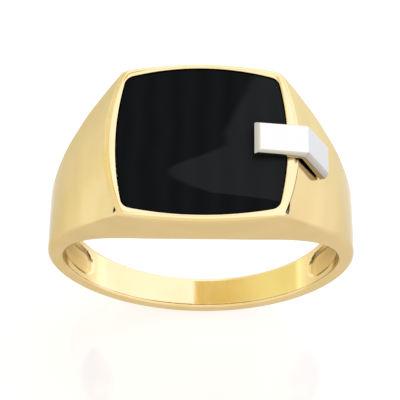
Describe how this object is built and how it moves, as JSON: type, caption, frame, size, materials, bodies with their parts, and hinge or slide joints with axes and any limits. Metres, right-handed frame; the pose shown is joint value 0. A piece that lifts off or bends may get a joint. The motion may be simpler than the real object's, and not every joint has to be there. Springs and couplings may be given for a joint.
{
  "type": "signet ring",
  "caption": "Signet ring with a cushion-shaped black stone table and a bent white-metal bar lapped over its rim, for a finger 19.1 mm across.",
  "frame": {"origin": "centre of the finger hole, on its axis, midway between the front and back faces", "axes": "+Z from the finger's centre up through the middle of the stone table, Y along the finger, +X towards the side with the accent bar"},
  "size_m": [0.0214, 0.0116, 0.0244],
  "materials": {
    "yellow_gold": "polished cast yellow gold",
    "black_onyx": "polished black onyx",
    "dark_cement": "dark epoxy",
    "white_gold": "rhodium-plated white gold",
    "white_solder": "white gold solder"
  },
  "bodies": {
    "root": {"ring_body": "yellow_gold", "onyx_stone": "black_onyx", "stone_cement": "dark_cement", "accent_clip": "white_gold", "clip_posts": "white_gold", "post_solder": "white_solder"}
  },
  "joints": []
}
